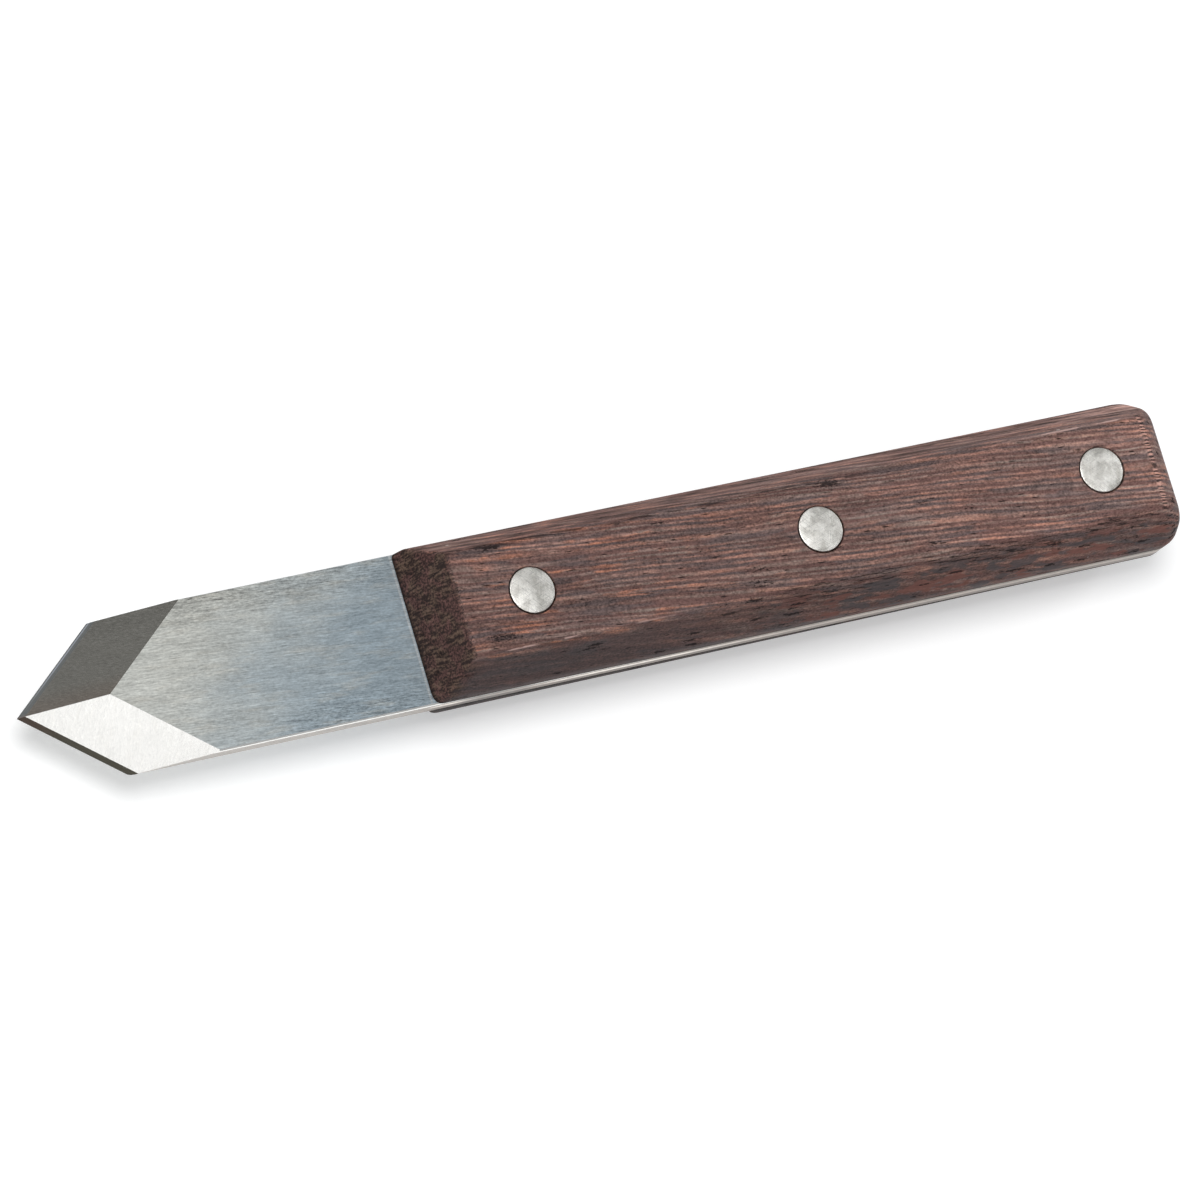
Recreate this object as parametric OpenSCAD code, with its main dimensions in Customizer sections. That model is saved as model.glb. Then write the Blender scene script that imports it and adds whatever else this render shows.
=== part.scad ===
// Marking knife: a flat spear-point blade on a full-length tang, between two
// wooden scales held by three two-part rivets.
// The tip points to -X, the butt to +X, and the bevelled face looks up to +Z.
// The flat outer face of the lower scale lies on Z = 0.

/* [Blade] */
// Length from the tip to the end of the butt
overall_l = 159; // [145:0.2:190]
// Width of the steel bar, and of the handle
blade_w = 20; // [16:0.5:26]
// Thickness of the steel bar
blade_t = 3; // [2:0.1:4]
// Length of steel in front of the handle, from the tip
exposed_l = 52.6; // [40:0.2:65]
// Length of the point along the axis, from the tip to the two shoulders
point_l = 12.2; // [10:0.1:18]
// Distance from the tip to where the two ground faces meet the flat face
ridge_l = 11.55; // [9:0.05:16]
// Length of the honed edge band along the axis
hone_l = 1.1; // [0.6:0.05:2]
// Slant of the honed edge band from the flat back, in degrees
hone_angle = 30; // [29:0.5:38]

/* [Handle] */
// Thickness of one wooden scale
scale_t = 8.5; // [6:0.1:11]
// Run of the sloping front face along the axis
front_run = 3.6; // [1:0.1:6]
// Height of the upright side above the steel at the front, below the slanting flank
side_h = 2; // [1:0.1:3.5]
// Slant of the flanks from upright, in degrees
flank_angle = 25; // [15:0.5:32]
// How far a flank closes on the axis from the front to the butt
flank_close = 0.85; // [0:0.05:0.9]
// Slant of the near flank of the upper scale, which runs straight
near_angle = 26.5; // [15:0.5:32]
// Corner radius of the butt in plan
butt_corner_r = 4; // [1:0.1:6]
// How much larger the corner radius between the butt and a slanting flank is
flank_corner_extra = 0.8; // [0.2:0.1:2]
// How much the radius of the arched butt, seen from the side, exceeds scale_t
butt_arch_extra = 1.9; // [0.5:0.1:6]

/* [Rivets] */
// Distance from the front of the handle to the first rivet
rivet_front = 13.6; // [12:0.2:18]
// Distance from the last rivet to the end of the butt
rivet_butt = 12; // [10:0.2:16]
// Diameter of a rivet head
head_d = 6; // [5:0.1:8]
// Thickness of a rivet head at its middle
head_t = 1.4; // [1:0.1:2]
// Rise of the crowned head from its rim to its middle
crown = 0.15; // [0.05:0.01:0.3]
// Diameter of the solid shank
shank_d = 3; // [2:0.1:3.2]
// Outer diameter of the tubular shank
socket_d = 4; // [3.8:0.1:4.6]
// Radial gap between a head and its counterbore
head_gap = 0.15; // [0.05:0.01:0.3]
// Radial gap between the tubular shank and its hole
shank_gap = 0.05; // [0.02:0.01:0.2]
// Radial gap between the solid and the tubular shank
press_gap = 0.01; // [0.005:0.005:0.05]
// Free length left at the end of each shank
shank_end_gap = 0.6; // [0.2:0.1:1.5]

/* [Hidden] */
$fn = 96;
// Overrun of every cutting shape
over = 1;
handle_l = overall_l - exposed_l;
half_w = blade_w / 2;
tip_x = -overall_l / 2;
back_z = scale_t;
face_z = scale_t + blade_t;
total_z = 2 * scale_t + blade_t;
// Half the angle of the point
point_angle = atan(half_w / point_l);
// Distance of the ridge, and of the honed band's upper end, square to the edge
ridge_w = ridge_l * sin(point_angle);
hone_w = hone_l * sin(point_angle);
hone_rise = hone_w * tan(hone_angle);
// Slope of a ground face, from the honed band up to the ridge
ground_slope = atan((blade_t - hone_rise) / (ridge_w - hone_w));
// Reach of the cutting shapes, past the whole section of the knife
cut_size = 3 * blade_w;
butt_arch_r = scale_t + butt_arch_extra;
flank_corner_r = butt_corner_r + flank_corner_extra;
// Three rivets, evenly spaced along the handle
rivet_pitch = (handle_l - rivet_front - rivet_butt) / 2;
rivet_x = [for (i = [0:2]) tip_x + exposed_l + rivet_front + i * rivet_pitch];
hole_d = socket_d + 2 * shank_gap;
socket_bore_d = shank_d + 2 * press_gap;
counterbore_d = head_d + 2 * head_gap;
crown_r = (head_d * head_d / 4 + crown * crown) / (2 * crown);
// Share of a head's thickness that its shank runs up into it
shank_seat_share = 0.5;
shank_l = total_z - (1 + shank_seat_share) * head_t - shank_end_gap;

// What a round corner of radius r takes off a square one, seen from its centre
module corner_waste(r)
    difference() {
        square(r + over);
        circle(r);
    }

// Plan of a bar or scale to the butt at X = length, less its two round corners
module butt_plan(start, length)
    difference() {
        translate([start, -half_w]) square([length - start, blade_w]);
        for (side = [0, 1])
            mirror([0, side, 0])
                translate([length - butt_corner_r, half_w - butt_corner_r])
                    corner_waste(butt_corner_r);
    }

// What lies outside and above one side of the point: its profile square to the
// cutting edge, run along the edge. The edge itself is at the profile's origin.
module point_waste()
    translate([tip_x, 0, back_z])
        rotate([90, 0, 90 + point_angle])
            linear_extrude(cut_size, center = true)
                polygon([[over / tan(hone_angle), -over],
                         [-hone_w, hone_rise],
                         [-ridge_w - over / tan(ground_slope), blade_t + over],
                         [cut_size, blade_t + over],
                         [cut_size, -over]]);

// The point is all cut from the bar: its faces meet the flat back in the edges
module blade()
    color("lightslategray")
        difference() {
            translate([tip_x, 0, back_z]) linear_extrude(blade_t) butt_plan(-over, overall_l);
            for (side = [0, 1]) mirror([0, side, 0]) point_waste();
            for (x = rivet_x)
                translate([x, 0, back_z - over]) cylinder(d = hole_d, h = blade_t + 2 * over);
        }

// What the slope of the front takes off a scale
module front_waste()
    rotate([0, atan(front_run / scale_t), 0])
        translate([-cut_size, -cut_size / 2, -cut_size / 2]) cube(cut_size);

// What the arch of the butt takes off, seen from the side
module arch_waste()
    translate([handle_l - butt_arch_r, 0, 0])
        rotate([90, 0, 0])
            linear_extrude(cut_size, center = true)
                difference() {
                    square([butt_arch_r + over, scale_t + over]);
                    circle(butt_arch_r);
                }

// What a slanting flank on the +Y side takes off, and the round corner between
// it and the butt
module flank_waste(angle, close) {
    turn = atan(close / handle_l);
    r = flank_corner_r;
    translate([0, half_w, side_h])
        rotate([angle, 0, 0]) {
            rotate([0, 0, -turn])
                translate([-over, 0, -cut_size / 2])
                    cube([2 * handle_l, cut_size, cut_size]);
            translate([handle_l - r, -close + r * tan(turn) - r / cos(turn), 0])
                linear_extrude(cut_size, center = true) corner_waste(r);
        }
}

// One scale with its front at X = 0 and its steel side on Z = 0
module scale_blank(right_angle, right_close)
    difference() {
        linear_extrude(scale_t) butt_plan(0, handle_l);
        front_waste();
        arch_waste();
        flank_waste(flank_angle, flank_close);
        mirror([0, 1, 0]) flank_waste(right_angle, right_close);
    }

// Rivet holes through a scale, each with a counterbore for its head
module rivet_holes()
    for (x = rivet_x)
        translate([x, 0, 0]) {
            translate([0, 0, -over]) cylinder(d = hole_d, h = scale_t + 2 * over);
            translate([0, 0, scale_t - head_t]) cylinder(d = counterbore_d, h = head_t + over);
        }

module scale_piece(right_angle, right_close)
    color("#4b2c24")
        difference() {
            translate([tip_x + exposed_l, 0, 0]) scale_blank(right_angle, right_close);
            rivet_holes();
        }

module upper_scale()
    translate([0, 0, face_z]) scale_piece(near_angle, 0);

module lower_scale()
    translate([0, 0, back_z]) mirror([0, 0, 1]) scale_piece(flank_angle, flank_close);

// Crowned head with its middle on Z = 0 and its body below
module rivet_head()
    intersection() {
        translate([0, 0, -head_t]) cylinder(d = head_d, h = head_t);
        translate([0, 0, -crown_r]) sphere(crown_r, $fn = 192);
    }

module rivet_pin(index)
    color("gainsboro")
        translate([rivet_x[index], 0, total_z]) {
            rivet_head();
            translate([0, 0, head_t + shank_end_gap - total_z])
                cylinder(d = shank_d, h = shank_l);
        }

module rivet_socket(index)
    color("gainsboro")
        translate([rivet_x[index], 0, 0])
            difference() {
                union() {
                    mirror([0, 0, 1]) rivet_head();
                    translate([0, 0, (1 - shank_seat_share) * head_t])
                        cylinder(d = socket_d, h = shank_l);
                }
                translate([0, 0, head_t])
                    cylinder(d = socket_bore_d, h = total_z);
            }

blade();
upper_scale();
lower_scale();
rivet_pin(0);  // front_rivet_pin
rivet_socket(0);  // front_rivet_socket
rivet_pin(1);  // middle_rivet_pin
rivet_socket(1);  // middle_rivet_socket
rivet_pin(2);  // rear_rivet_pin
rivet_socket(2);  // rear_rivet_socket
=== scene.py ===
"""Marking knife: steel blade and tang, two wooden scales, three two-part rivets."""
import math

import bmesh
import bpy
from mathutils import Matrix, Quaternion, Vector, noise


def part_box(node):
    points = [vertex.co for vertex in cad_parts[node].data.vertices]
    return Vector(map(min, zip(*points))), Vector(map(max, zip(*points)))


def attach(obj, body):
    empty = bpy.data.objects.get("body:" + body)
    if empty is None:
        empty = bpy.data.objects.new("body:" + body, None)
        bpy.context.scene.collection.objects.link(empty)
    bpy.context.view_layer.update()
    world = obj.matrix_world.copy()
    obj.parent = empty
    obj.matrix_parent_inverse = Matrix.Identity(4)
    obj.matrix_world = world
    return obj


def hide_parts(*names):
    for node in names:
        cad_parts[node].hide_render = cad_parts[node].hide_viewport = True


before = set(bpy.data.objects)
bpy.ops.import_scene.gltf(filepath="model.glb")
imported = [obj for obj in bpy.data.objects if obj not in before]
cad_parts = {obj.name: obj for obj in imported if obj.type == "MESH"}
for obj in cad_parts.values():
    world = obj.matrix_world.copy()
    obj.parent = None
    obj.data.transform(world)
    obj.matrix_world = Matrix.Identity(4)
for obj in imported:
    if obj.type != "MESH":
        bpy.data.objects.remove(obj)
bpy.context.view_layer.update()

MM = 0.001

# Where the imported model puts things, in millimetres
BLADE_LOW, BLADE_HIGH = (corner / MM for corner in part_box("blade"))
UPPER_LOW, UPPER_HIGH = (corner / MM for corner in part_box("upper_scale"))
RIVETS = ("front", "middle", "rear")
RIVET_X = [sum(corner.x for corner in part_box(name + "_rivet_pin")) / 2 / MM for name in RIVETS]
HEAD_R = (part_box("front_rivet_pin")[1].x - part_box("front_rivet_pin")[0].x) / 2 / MM
TIP_X, BUTT_X = BLADE_LOW.x, BLADE_HIGH.x
HALF_W = BLADE_HIGH.y
BACK_Z, FACE_Z = BLADE_LOW.z, BLADE_HIGH.z
STEEL_T = FACE_Z - BACK_Z
HANDLE_X = UPPER_LOW.x
HANDLE_L = BUTT_X - HANDLE_X
SCALE_T = UPPER_HIGH.z - FACE_Z
TOP_Z = UPPER_HIGH.z

# The blade's point, measured along the knife from the tip, and its honed bands
SHOULDER = 12.2
RIDGE = 11.55
HONE = 1.02
HONE_SLANT = math.radians(30)
POINT_ANGLE = math.atan2(HALF_W, SHOULDER)
HONE_RISE = HONE * math.sin(POINT_ANGLE) * math.tan(HONE_SLANT)

# The worn edges of the bar: their width, and the share of it on the near and the far edge
WORN_WIDTH = 0.26
NEAR_WEAR = 1.0
FAR_WEAR = 0.3

# The front of a scale: how far it leans back, how far along that lean fades, its round edge
FRONT_RUN = 3.6
LEAN_L = 26.0
FRONT_ROUND = 0.45
# Its roughness: depth, size of a dent, length along the handle, height where it is full
FRONT_ROUGH = 0.10
ROUGH_SIZE = 0.7
ROUGH_L = 3.0
ROUGH_FROM_Z = 2.0

# The flanks: the upright side below them, the slants, and what they close in by
SIDE_H = 2.0
LEAST_SIDE_H = 0.12
MOST_SIDE_SHARE = 0.6
FLANK_SLANT = math.radians(25)
FLANK_CLOSE = 0.85
NEAR_SLANT = math.radians(26.5)
FLANK_FOOT_R = 2.5
LOWER_FOOT_R = 0.7
FOOT_STEPS = 6

# The arrises of the top: radii of the near one in front, behind and at the butt, and of the
# far one in front, along the middle, behind and at the butt; how uneven they are worn
NEAR_ARRIS_R = (0.28, 1.3, 4.0)
FAR_ARRIS_R = (0.7, 3.0, 0.5, 3.4)
ARRIS_STEPS = 8
UNEVEN = 0.20
UNEVEN_L = 4.0

# The arched butt: its radius and soft start, and the length that has the arch's sections
ARCH_R = 10.4
END_ROUND = 0.9
ARCH_FROM = 23
ARCH_L = 6.4
RUN_SECTIONS = 110

# Corner radii of the butt in plan, of the butt in the slanting flank, of the front in plan
NEAR_CORNERS = (3.6, 4.0, 1.3)
FAR_CORNERS = (4.0, 3.0, 0.35)

# Where the worn arrises of the top lie: the near, the far, which closes in, and the butt's
NEAR_ARRIS_Y = 6.84
FAR_ARRIS_Y = 6.93
FAR_CLOSING = 0.0088
BUTT_ARRIS_X = 74.95

# The rivets and their holes
HEAD_T = 1.4
CROWN = 0.15
HEAD_RIM = 0.11
CROWN_RINGS = 14
RIM_RINGS = 5
SHANK_R = 1.5
SLEEVE_R = 2.0
HEAD_GAP = 0.15
SLEEVE_GAP = 0.05
PRESS_GAP = 0.01
SHANK_END_GAP = 0.6
SHANK_CHAMFER = 0.15
HEAD_SHIFT = Vector((0.045, 0.075))
HOLE_SIDES = 80
# Worn rim of a counterbore, as (out from the bore, up from the top)
BORE_RIM = ((0.0, -0.12), (0.05, -0.04), (0.14, 0.02), (0.14, 1.0))

# A rounded corner takes at most this share of each side, and turns by more than this
MOST_OF_SIDE = 0.46
LEAST_TURN = 1e-4
# Faces that turn by more than this meet in a sharp edge
BLADE_SHARP = math.radians(7)
SHARP = math.radians(35)


# Meshes

def add_object(name, shape):
    """Puts a bmesh into the scene as an object, and frees it."""
    mesh = bpy.data.meshes.new(name)
    shape.to_mesh(mesh)
    shape.free()
    made = bpy.data.objects.new(name, mesh)
    bpy.context.scene.collection.objects.link(made)
    return made


def add_solid(name, build):
    """An object from the closed form that build draws in a bmesh, in millimetres."""
    shape = bmesh.new()
    build(shape)
    bmesh.ops.scale(shape, vec=(MM, MM, MM), verts=shape.verts)
    bmesh.ops.recalc_face_normals(shape, faces=shape.faces)
    return add_object(name, shape)


def add_piece(name, build, finishes, node):
    """A named solid with its finishes, in place of one node of the model."""
    piece = add_solid(name, build)
    for finish in finishes:
        piece.data.materials.append(finish)
    piece.data.shade_smooth()
    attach(piece, "root")
    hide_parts(node)
    return piece


def apply_modifiers(piece):
    """Turns the modifiers on a piece into its own mesh."""
    with bpy.context.temp_override(object=piece, active_object=piece, selected_objects=[piece]):
        for modifier in list(piece.modifiers):
            bpy.ops.object.modifier_apply(modifier=modifier.name)


def shade_evenly(piece, sharp):
    """Keeps edges sharp where faces turn by more than sharp, and shades the rest evenly."""
    piece.data.set_sharp_from_angle(angle=sharp)
    even = piece.modifiers.new("even", "WEIGHTED_NORMAL")
    even.keep_sharp = True


def mix(a, b, share):
    """From a at share 0 to b at share 1."""
    return a + (b - a) * share


def ease(share):
    """From 0 to 1 as share does, with a soft start and end, and level beyond them."""
    share = min(1.0, max(0.0, share))
    return share * share * (3 - 2 * share)


def round_corner(before, corner, after, radius, count):
    """Points of an arc that rounds one corner of an outline."""
    back, on = before - corner, after - corner
    turn = math.pi - back.angle(on, math.pi)
    if turn < LEAST_TURN:
        return [corner.lerp(before, 0.01 * (1 - i / count)) for i in range(count + 1)]
    reach = min(radius * math.tan(turn / 2), MOST_OF_SIDE * back.length, MOST_OF_SIDE * on.length)
    radius = reach / math.tan(turn / 2)
    start = corner + back.normalized() * reach
    inward = (back.normalized() + on.normalized()).normalized()
    centre = corner + inward * math.hypot(radius, reach)
    spoke = start - centre
    sign = 1 if back.x * on.y - back.y * on.x < 0 else -1
    points = []
    for i in range(count + 1):
        angle = sign * turn * i / count
        c, s = math.cos(angle), math.sin(angle)
        points.append(centre + Vector((spoke.x * c - spoke.y * s, spoke.x * s + spoke.y * c)))
    return points


def lathe(shape, profile, centre, sides=96):
    """Turns a profile of (radius, height) about an upright axis."""
    rings = []
    for radius, height in profile:
        if radius == 0:
            ring = [shape.verts.new((centre.x, centre.y, height))] * sides
        else:
            ring = []
            for i in range(sides):
                angle = math.tau * i / sides
                ring.append(shape.verts.new((centre.x + radius * math.cos(angle),
                                             centre.y + radius * math.sin(angle), height)))
        rings.append(ring)
    for low, high in zip(rings, rings[1:]):
        for i in range(sides):
            j = (i + 1) % sides
            corners = [low[i], low[j], high[j], high[i]]
            corners = [v for k, v in enumerate(corners) if v not in corners[:k]]
            if len(corners) > 2:
                shape.faces.new(corners)


# Scales

class ScaleSide:
    """One side of a scale: the slant and closing of its flank, its corners and its arris.

    arris_r gives the radius of the arris of the top at a place along the handle."""

    def __init__(self, slant, close, corners, arris_r):
        self.slant, self.close, self.arris_r = slant, close, arris_r
        self.plan_r, self.flank_r, self.front_r = corners


def near_arris(t):
    """Radius of the near arris: crisp in front, softer behind, round at the butt."""
    front, rear, butt = NEAR_ARRIS_R
    return mix(mix(front, rear, ease(t / HANDLE_L)), butt, ease((t - HANDLE_L + 12) / 9))


def far_arris(t):
    """Radius of the far arris: softest along the middle, round again at the butt."""
    front, middle, rear, butt = FAR_ARRIS_R
    radius = mix(mix(front, middle, ease((t - 6) / 26)), rear, ease((t - 74) / 14))
    return mix(radius, butt, ease((t - 99) / 5))


def plan_half_width(t, radius):
    """Half the width of the handle's plan, t along it from the front."""
    past = t - (HANDLE_L - radius)
    return HALF_W if past <= 0 else HALF_W - radius + math.sqrt(max(0.0, radius**2 - past**2))


def top_height(t):
    """Height of a scale over the steel: flat, then the arch of the butt."""
    past = t - (HANDLE_L - ARCH_R)
    arch = math.sqrt(max(0.0, ARCH_R**2 - max(0.0, past)**2))
    closeness = max(END_ROUND - abs(arch - SCALE_T), 0.0) / END_ROUND
    return min(arch, SCALE_T) - closeness * closeness * END_ROUND / 4


def half_section(t, side, arris_r, foot_r, inset):
    """One side of a scale's section from the steel to the top, as (out, up)."""
    high = top_height(t) - inset
    from_front = max(0.0, side.front_r - t)
    front_corner = side.front_r - math.sqrt(side.front_r**2 - from_front**2)
    out = plan_half_width(t, side.plan_r) - inset - front_corner
    flank = HALF_W - (HALF_W - plan_half_width(t, side.flank_r)) / math.cos(side.slant)
    inward = side.close * t / HANDLE_L + inset
    foot_z = SIDE_H - (inward + (out - flank) * math.cos(side.slant)) / math.sin(side.slant)
    foot_z = min(max(foot_z, LEAST_SIDE_H), MOST_SIDE_SHARE * high)
    slope = (inward + (high - SIDE_H) * math.sin(side.slant)) / math.cos(side.slant)
    top_y = min(out, flank - slope)
    base, foot = Vector((out, 0)), Vector((out, foot_z))
    arris, middle = Vector((top_y, high)), Vector((0, high))
    return ([base] + round_corner(base, foot, arris, foot_r, FOOT_STEPS)
            + round_corner(foot, arris, middle, arris_r, ARRIS_STEPS))


def scale_stations():
    """(place along the handle, inset) of each section: round front, run, arched butt."""
    lead = [math.radians(a) for a in range(0, 90, 18)]
    front = [(FRONT_ROUND * (1 - math.cos(a)), FRONT_ROUND * (1 - math.sin(a))) for a in lead]
    corner_end = NEAR_CORNERS[2]
    run = [(mix(FRONT_ROUND, corner_end, i / 4), 0.0) for i in range(4)]
    run += [(mix(corner_end, HANDLE_L - ARCH_L, i / RUN_SECTIONS), 0.0)
            for i in range(RUN_SECTIONS)]
    arc = [math.radians(a) for a in range(ARCH_FROM, 90, 2)]
    return front + run + [(HANDLE_L - ARCH_R + ARCH_R * math.sin(a), 0.0) for a in arc]


def height_at(rise, up):
    """Height of a point of the upper (up 1) or lower (up -1) scale, by its rise off the steel."""
    return FACE_Z + rise if up > 0 else BACK_Z - rise


def scale_shape(near, far, up):
    """A scale as a loft of sections, from its near and its far ScaleSide."""
    foot_r = FLANK_FOOT_R if up > 0 else LOWER_FOOT_R

    def build(shape):
        rings = []
        for t, inset in scale_stations():
            halves = []
            for sign, side in ((-1, near), (1, far)):
                uneven = 1 + UNEVEN * noise.noise(Vector((t / UNEVEN_L, 5 * sign, 9 * up)))
                points = half_section(t, side, side.arris_r(t) * uneven, foot_r, inset)
                halves.append([(sign * p.x, p.y) for p in points])
            outline = halves[0] + halves[1][::-1]
            lean = FRONT_RUN / SCALE_T * (1 - ease(t / LEAN_L))
            ring = []
            for y, z in outline:
                rough = noise.noise(Vector((y / ROUGH_SIZE, z / ROUGH_SIZE, 9 * up)))
                rough = FRONT_ROUGH * rough * ease(z / ROUGH_FROM_Z) * (1 - ease(t / ROUGH_L))
                x = HANDLE_X + t + lean * z + rough
                ring.append(shape.verts.new((x, y, height_at(z, up))))
            rings.append(ring)
        for one, two in zip(rings, rings[1:]):
            for i in range(len(one)):
                j = (i + 1) % len(one)
                shape.faces.new((one[i], one[j], two[j], two[i]))
        shape.faces.new(rings[0])
        shape.faces.new(rings[-1])
    return build


def rivet_holes_shape(up):
    """Stepped plugs the shape of the rivet holes and counterbores of a scale."""
    hole_r = SLEEVE_R + SLEEVE_GAP
    bore_r = HEAD_R + HEAD_GAP
    steps = [(0, -1), (hole_r, -1), (hole_r, SCALE_T - HEAD_T), (bore_r, SCALE_T - HEAD_T)]
    steps += [(bore_r + out, SCALE_T + rise) for out, rise in BORE_RIM]
    steps += [(0, SCALE_T + BORE_RIM[-1][1])]

    def build(shape):
        for x in RIVET_X:
            profile = [(r, height_at(rise, up)) for r, rise in steps]
            lathe(shape, profile, Vector((x, 0, 0)), HOLE_SIDES)
    return build


def make_scale(name, near, far, up, wood):
    """The upper (up 1) or lower (up -1) scale, with its rivet holes cut."""
    piece = add_piece(name + "_wood", scale_shape(near, far, up), [wood], name)
    cutters = add_solid("rivet_hole_cutters", rivet_holes_shape(up))
    drill = piece.modifiers.new("drill", "BOOLEAN")
    drill.operation, drill.solver, drill.object = "DIFFERENCE", "EXACT", cutters
    apply_modifiers(piece)
    bpy.data.objects.remove(cutters)
    shade_evenly(piece, SHARP)


# Blade

# The faces of the bar that have a finish of their own
FLAT, GROUND_NEAR, GROUND_FAR, HONED, RIM, WORN_EDGE = range(6)


def blade_shape(shape):
    """The bar with its rounded butt, two ground faces and two honed bands."""
    def point(x, y, z):
        return shape.verts.new((TIP_X + x, y, BACK_Z + z))

    length = BUTT_X - TIP_X
    arc = [math.radians(a) for a in range(0, 91, 6)]
    tip = point(0, 0, 0)
    hone_tip = point(HONE, 0, HONE_RISE)
    ridge_tip = point(RIDGE, 0, STEEL_T)
    back_rims, face_rims = [], []
    for side, r, ground_finish in ((-1, NEAR_CORNERS[0], GROUND_NEAR),
                                   (1, FAR_CORNERS[0], GROUND_FAR)):
        corner = [(length - r + r * math.sin(a), HALF_W - r + r * math.cos(a)) for a in arc]
        shoulder = point(SHOULDER, side * HALF_W, 0)
        hone_end = point(SHOULDER + HONE, side * HALF_W, HONE_RISE)
        ridge_end = point(SHOULDER + RIDGE, side * HALF_W, STEEL_T)
        low = [point(x, side * y, 0) for x, y in corner]
        high = [point(x, side * y, STEEL_T) for x, y in corner]
        honed = shape.faces.new((tip, shoulder, hone_end, hone_tip))
        ground = shape.faces.new((hone_tip, hone_end, ridge_end, ridge_tip))
        honed.material_index = HONED
        ground.material_index = ground_finish
        shape.faces.new((shoulder, hone_end, ridge_end, high[0], low[0])).material_index = RIM
        for i in range(len(corner) - 1):
            shape.faces.new((low[i], low[i + 1], high[i + 1], high[i])).material_index = RIM
        back_rims.append([shoulder] + low)
        face_rims.append([ridge_end] + high)
    butt = (back_rims[0][-1], back_rims[1][-1], face_rims[1][-1], face_rims[0][-1])
    shape.faces.new(butt).material_index = RIM
    shape.faces.new([ridge_tip] + face_rims[0] + face_rims[1][::-1])
    shape.faces.new([tip] + back_rims[0] + back_rims[1][::-1])
    wear = shape.edges.layers.float.new("bevel_weight_edge")
    for edge in shape.edges:
        finishes = sorted(face.material_index for face in edge.link_faces)
        if finishes == [FLAT, RIM]:
            is_near = edge.verts[0].co.y + edge.verts[1].co.y < -HALF_W
            edge[wear] = NEAR_WEAR if is_near else FAR_WEAR


def make_blade(finishes):
    """The bar with its worn edges; finishes are in the order of FLAT to WORN_EDGE."""
    piece = add_piece("blade_bar", blade_shape, finishes, "blade")
    worn = piece.modifiers.new("worn_edges", "BEVEL")
    worn.width, worn.segments = WORN_WIDTH * MM, 2
    worn.limit_method, worn.material = "WEIGHT", WORN_EDGE
    apply_modifiers(piece)
    shade_evenly(piece, BLADE_SHARP)


# Rivets

def head_profile():
    """Crowned head with a soft rim, from its middle to its underside, for a head facing up."""
    crown_r = (HEAD_R**2 + CROWN**2) / (2 * CROWN)
    flat_r = HEAD_R - HEAD_RIM
    points = []
    for i in range(CROWN_RINGS + 1):
        r = flat_r * i / CROWN_RINGS
        points.append((r, TOP_Z - crown_r + math.sqrt(crown_r**2 - r**2)))
    rim_z = points[-1][1] - HEAD_RIM
    for i in range(1, RIM_RINGS + 1):
        a = math.radians(90 * i / RIM_RINGS)
        points.append((flat_r + HEAD_RIM * math.sin(a), rim_z + HEAD_RIM * math.cos(a)))
    return points + [(HEAD_R, TOP_Z - HEAD_T)]


def rivet_shape(x, up):
    """One half of a rivet: a head with a solid shank above, or with a sleeve below."""
    under_head = TOP_Z - HEAD_T
    end = HEAD_T + SHANK_END_GAP
    bore_r = SHANK_R + PRESS_GAP
    if up > 0:
        profile = head_profile() + [(SHANK_R, under_head), (SHANK_R, end + SHANK_CHAMFER),
                                    (SHANK_R - SHANK_CHAMFER, end), (0, end)]
    else:
        profile = head_profile() + [(SLEEVE_R, under_head), (SLEEVE_R, end), (bore_r, end),
                                    (bore_r, under_head), (0, under_head)]
        profile = [(r, TOP_Z - z) for r, z in profile]

    def build(shape):
        axis = Vector((x, 0, 0))
        lathe(shape, profile, axis)
        for vert in shape.verts:
            depth = min(vert.co.z, TOP_Z - vert.co.z)
            reach = (vert.co.xy - axis.xy).length
            # The head sits a little off the middle of its counterbore, its shank doesn't
            if depth < HEAD_T - 0.01 or reach > SLEEVE_R + 0.1:
                vert.co.xy += HEAD_SHIFT
    return build


def make_rivets(metal):
    """Both halves of the three rivets."""
    for name, x in zip(RIVETS, RIVET_X):
        for half, up in (("pin", 1), ("socket", -1)):
            node = f"{name}_rivet_{half}"
            piece = add_piece(node + "_metal", rivet_shape(x, up), [metal], node)
            piece.data.set_sharp_from_angle(angle=SHARP)


# Finishes

class Strand:
    """A number, vector or colour on its way through the nodes; sums on it become nodes."""

    def __init__(self, nodes, socket):
        self.nodes, self.socket = nodes, socket

    def maths(self, operation, *values):
        return self.nodes.node("ShaderNodeMath", dict(enumerate(values)), operation=operation)

    def __add__(self, other):
        return self.maths("ADD", self, other)

    def __radd__(self, other):
        return self.maths("ADD", other, self)

    def __sub__(self, other):
        return self.maths("SUBTRACT", self, other)

    def __rsub__(self, other):
        return self.maths("SUBTRACT", other, self)

    def __mul__(self, other):
        return self.maths("MULTIPLY", self, other)

    def __rmul__(self, other):
        return self.maths("MULTIPLY", other, self)

    def __truediv__(self, other):
        return self.maths("DIVIDE", self, other)

    def __neg__(self):
        return self.maths("MULTIPLY", self, -1.0)

    def __abs__(self):
        return self.maths("ABSOLUTE", self)

    def sin(self):
        return self.maths("SINE", self)

    def floor(self):
        return self.maths("FLOOR", self)

    def at_least(self, other):
        return self.maths("MAXIMUM", self, other)

    def between(self, low, high):
        """0 below low, 1 above high, eased in between."""
        return self.nodes.node("ShaderNodeMapRange",
                               {"Value": self, "From Min": low, "From Max": high},
                               interpolation_type="SMOOTHSTEP")


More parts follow.
